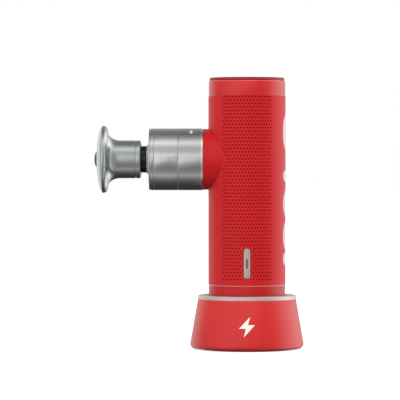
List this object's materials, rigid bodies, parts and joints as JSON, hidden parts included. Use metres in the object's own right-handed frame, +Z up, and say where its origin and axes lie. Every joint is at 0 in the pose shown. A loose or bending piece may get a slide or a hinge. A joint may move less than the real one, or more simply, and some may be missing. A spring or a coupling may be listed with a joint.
{
  "type": "massage gun with charging dock",
  "caption": "Compact massage gun: upright cylindrical grip, sideways metal barrel with a sliding massage head, standing in a round charging dock.",
  "frame": {"origin": "centre of the flat underside of the dock's foot pad, on the grip's axis", "axes": "+Z up along the grip's axis; the barrel and the massage head point along -X; the speed button faces -Y; the dock's charging inlet faces +Y"},
  "size_m": [0.1358, 0.0736, 0.1758],
  "materials": {
    "red_shell": "soft-touch red paint over plastic, fine satin",
    "red_band": "smooth satin red plastic",
    "dark_red": "smooth satin dark red plastic",
    "silver_ring": "fine brushed, clear anodised",
    "barrel_metal": "turned, satin grey",
    "head_metal": "turned, satin, slightly darker",
    "button_metal": "bead-blasted silver",
    "light_window": "smoked light window, unlit",
    "black_rubber": "smooth black rubber",
    "foot_rubber": "dark red silicone rubber",
    "black_plastic": "fine spark-eroded black plastic",
    "grey_plastic": "moulded dark grey plastic",
    "steel": "zinc-plated screws and ground steel",
    "rod_steel": "black oxide, polished",
    "stator_steel": "stacked electrical sheet",
    "cast_metal": "die-cast, machined faces",
    "magnet": "nickel-plated magnets",
    "brass": "sintered bronze and gold-plated brass",
    "copper": "enamelled copper wire",
    "nickel": "nickel strip",
    "board": "green circuit board with solder mask",
    "cell_wrap": "shrink-wrapped steel cells",
    "wire": "insulated wire",
    "ribbon": "amber flexible circuit"
  },
  "bodies": {
    "dock": {"dock_shell": "red_band", "dock_trim_ring": "silver_ring", "dock_cradle": "black_plastic", "dock_base_plate": "black_plastic", "dock_foot_pad": "foot_rubber", "dock_ballast": "steel", "dock_board": "board", "dock_usb_socket": "nickel", "dock_pin_barrels": "brass", "dock_pin_springs": "steel", "dock_screws": "steel", "dock_board_screws": "steel"},
    "contact_pins": {"dock_contact_pins": "brass"},
    "gun": {"housing_left": "grey_plastic", "housing_right": "grey_plastic", "housing_screws": "steel", "grip_sleeve": "red_shell", "grip_trim_ring": "red_band", "top_ring": "red_band", "top_lid": "dark_red", "bottom_cap": "red_band", "bottom_cap_screws": "steel", "neck_collar": "red_band", "barrel_rear": "barrel_metal", "barrel_front": "barrel_metal", "barrel_cap": "barrel_metal", "guide_carrier": "black_plastic", "guide_bushes": "brass", "plunger_seal": "black_rubber", "motor_base": "cast_metal", "motor_stator": "stator_steel", "motor_windings": "copper", "motor_bearings": "steel", "motor_damper": "black_rubber", "motor_screws": "steel", "motor_leads": "wire", "battery_cells": "cell_wrap", "battery_holders": "grey_plastic", "battery_tabs": "nickel", "battery_leads": "wire", "main_board": "board", "button_board": "board", "button_switch": "black_plastic", "button_ribbon": "ribbon", "button_bezel": "button_metal", "charge_board": "board", "charge_pads": "brass"},
    "rotor": {"rotor_bell": "steel", "rotor_magnets": "magnet", "motor_shaft": "steel", "crank_disc": "steel", "crank_pin": "steel"},
    "slide_block": {"yoke_block": "brass"},
    "plunger": {"plunger_yoke": "cast_metal", "plunger_rod": "rod_steel", "plunger_rings": "black_rubber"},
    "massage_head": {"head_body": "head_metal", "head_plug": "black_rubber"},
    "button": {"speed_button": "button_metal", "button_light": "light_window"}
  },
  "joints": [
    {"name": "gun_lift", "type": "slide", "parent": "dock", "child": "gun", "axis": [0, 0, 1], "range_m": [0, 0.045]},
    {"name": "pins_press", "type": "slide", "parent": "dock", "child": "contact_pins", "axis": [0, 0, 1], "range_m": [-0.0009, 0], "stiffness_N_per_m": 120, "deforming": ["dock_pin_springs"]},
    {"name": "crank_turn", "type": "hinge", "parent": "gun", "child": "rotor", "pos_m": [0, 0, 0.123], "axis": [0, 0, 1], "range_deg": [0, 180]},
    {"name": "block_turn", "type": "hinge", "parent": "rotor", "child": "slide_block", "pos_m": [0.004, 0, 0.123], "axis": [0, 0, 1], "range_deg": [-180, 0]},
    {"name": "plunger_stroke", "type": "slide", "parent": "gun", "child": "plunger", "axis": [-1, 0, 0], "range_m": [0, 0.008]},
    {"name": "head_pull", "type": "slide", "parent": "plunger", "child": "massage_head", "axis": [-1, 0, 0], "range_m": [0, 0.025]},
    {"name": "button_press", "type": "slide", "parent": "gun", "child": "button", "axis": [0, 1, 0], "range_m": [0, 0.0006], "stiffness_N_per_m": 300}
  ],
  "couplings": [
    {"joint": "crank_turn", "follows": "plunger_stroke", "rad_per_m": 392.69},
    {"joint": "block_turn", "follows": "plunger_stroke", "rad_per_m": -392.69}
  ]
}
